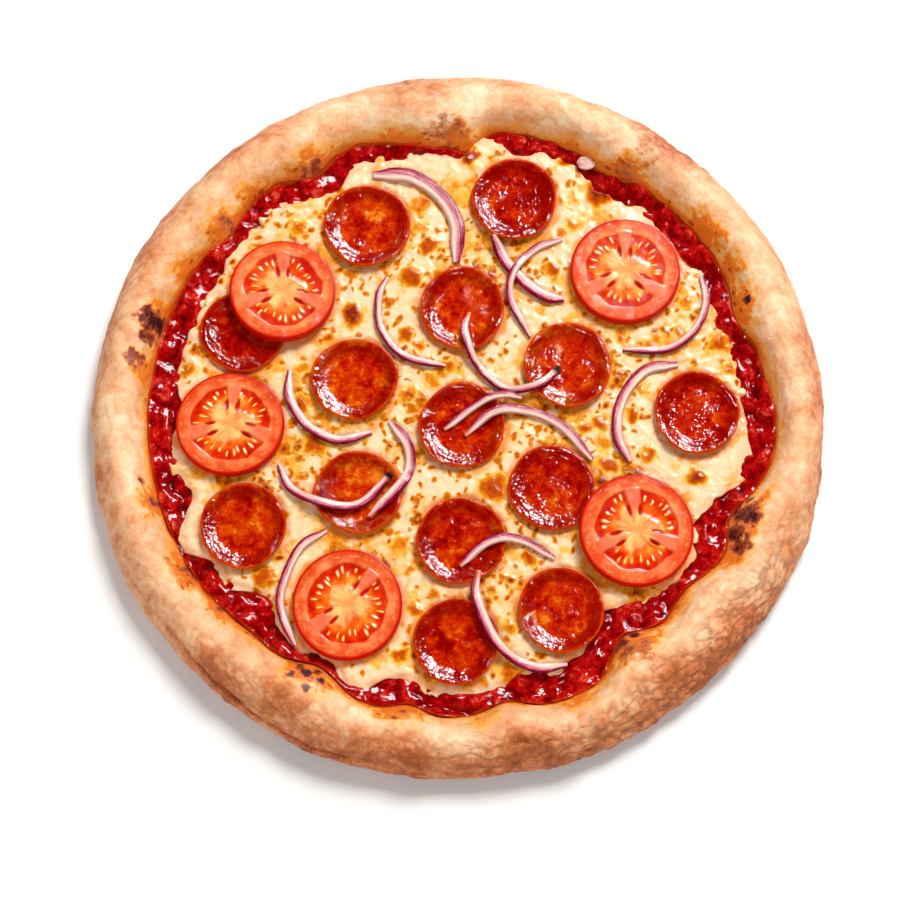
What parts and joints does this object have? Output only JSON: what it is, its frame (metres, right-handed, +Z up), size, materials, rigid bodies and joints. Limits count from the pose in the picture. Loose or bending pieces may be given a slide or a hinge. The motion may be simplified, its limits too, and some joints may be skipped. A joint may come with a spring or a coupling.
{
  "type": "pepperoni pizza",
  "caption": "Round baked pizza with a raised browned rim, tomato sauce, melted cheese, curled pepperoni, tomato slices and red onion strips, to be served whole.",
  "frame": {"origin": "middle of the box round the pizza, on the flat underside that it rests on", "axes": "+Z up through the toppings, -Y to the side that faces the viewer, +X to the viewer's right"},
  "size_m": [0.3038, 0.3046, 0.0249],
  "materials": {
    "crust": "dry baked bread, browned in patches",
    "sauce": "wet and glossy",
    "cheese": "melted, satin, browned in spots",
    "pepperoni": "oily and glossy",
    "tomato": "wet and glossy",
    "onion": "moist satin"
  },
  "bodies": {
    "root": {"crust": "crust", "sauce": "sauce", "cheese": "cheese", "pepperoni_01": "pepperoni", "pepperoni_02": "pepperoni", "pepperoni_03": "pepperoni", "pepperoni_04": "pepperoni", "pepperoni_05": "pepperoni", "pepperoni_06": "pepperoni", "pepperoni_07": "pepperoni", "pepperoni_08": "pepperoni", "pepperoni_09": "pepperoni", "pepperoni_10": "pepperoni", "pepperoni_11": "pepperoni", "pepperoni_12": "pepperoni", "pepperoni_13": "pepperoni", "pepperoni_14": "pepperoni", "tomato_1": "tomato", "tomato_2": "tomato", "tomato_3": "tomato", "tomato_4": "tomato", "tomato_5": "tomato", "onion_01": "onion", "onion_02": "onion", "onion_03": "onion", "onion_04": "onion", "onion_05": "onion", "onion_06": "onion", "onion_07": "onion", "onion_08": "onion", "onion_09": "onion", "onion_10": "onion", "onion_11": "onion", "onion_12": "onion", "onion_13": "onion", "onion_14": "onion", "onion_15": "onion"}
  },
  "joints": []
}
